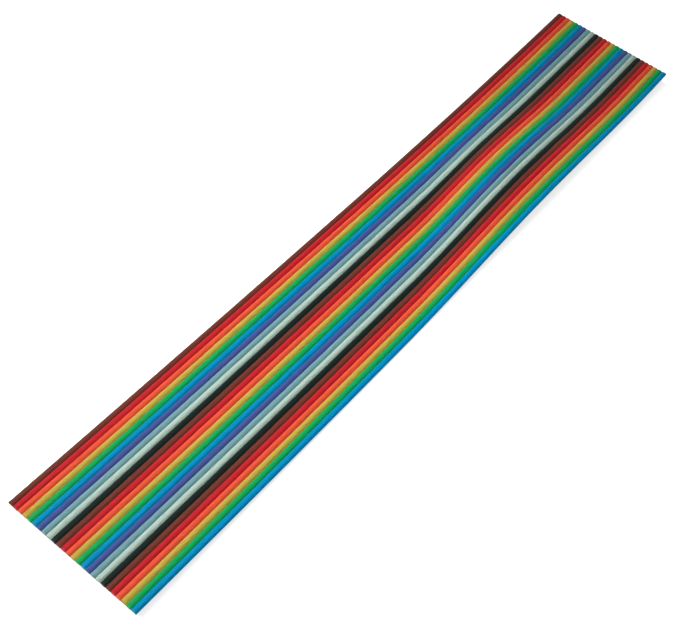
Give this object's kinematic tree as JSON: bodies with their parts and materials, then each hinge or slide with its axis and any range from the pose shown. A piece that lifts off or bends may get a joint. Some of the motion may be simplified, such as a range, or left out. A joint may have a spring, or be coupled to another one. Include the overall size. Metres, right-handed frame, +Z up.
{
  "type": "ribbon cable",
  "caption": "Flat ribbon cable of colour-coded stranded wires bonded side by side, bare and cut square at both ends, lying loose with curled ends and one low slanting hump.",
  "frame": {"origin": "middle of the cable's box, on the table that it lies on", "axes": "+X along the cable from the near cut end to the far one, +Y across it towards the first, brown wire, +Z up from the table"},
  "size_m": [0.188, 0.033, 0.0041],
  "materials": {
    "pvc_brown": "satin",
    "pvc_red": "satin",
    "pvc_orange": "satin",
    "pvc_yellow": "satin",
    "pvc_green": "satin",
    "pvc_blue": "satin",
    "pvc_violet": "satin",
    "pvc_grey": "satin",
    "pvc_white": "satin",
    "pvc_black": "satin",
    "tinned_copper": "satin"
  },
  "bodies": {
    "root": {"insulation_01_brown": "pvc_brown", "insulation_02_red": "pvc_red", "insulation_03_orange": "pvc_orange", "insulation_04_yellow": "pvc_yellow", "insulation_05_green": "pvc_green", "insulation_06_blue": "pvc_blue", "insulation_07_violet": "pvc_violet", "insulation_08_grey": "pvc_grey", "insulation_09_white": "pvc_white", "insulation_10_black": "pvc_black", "insulation_11_brown": "pvc_brown", "insulation_12_red": "pvc_red", "insulation_13_orange": "pvc_orange", "insulation_14_yellow": "pvc_yellow", "insulation_15_green": "pvc_green", "insulation_16_blue": "pvc_blue", "insulation_17_violet": "pvc_violet", "insulation_18_grey": "pvc_grey", "insulation_19_white": "pvc_white", "insulation_20_black": "pvc_black", "insulation_21_brown": "pvc_brown", "insulation_22_red": "pvc_red", "insulation_23_orange": "pvc_orange", "insulation_24_yellow": "pvc_yellow", "insulation_25_green": "pvc_green", "insulation_26_blue": "pvc_blue", "conductor_01": "tinned_copper", "conductor_02": "tinned_copper", "conductor_03": "tinned_copper", "conductor_04": "tinned_copper", "conductor_05": "tinned_copper", "conductor_06": "tinned_copper", "conductor_07": "tinned_copper", "conductor_08": "tinned_copper", "conductor_09": "tinned_copper", "conductor_10": "tinned_copper", "conductor_11": "tinned_copper", "conductor_12": "tinned_copper", "conductor_13": "tinned_copper", "conductor_14": "tinned_copper", "conductor_15": "tinned_copper", "conductor_16": "tinned_copper", "conductor_17": "tinned_copper", "conductor_18": "tinned_copper", "conductor_19": "tinned_copper", "conductor_20": "tinned_copper", "conductor_21": "tinned_copper", "conductor_22": "tinned_copper", "conductor_23": "tinned_copper", "conductor_24": "tinned_copper", "conductor_25": "tinned_copper", "conductor_26": "tinned_copper"}
  },
  "joints": []
}
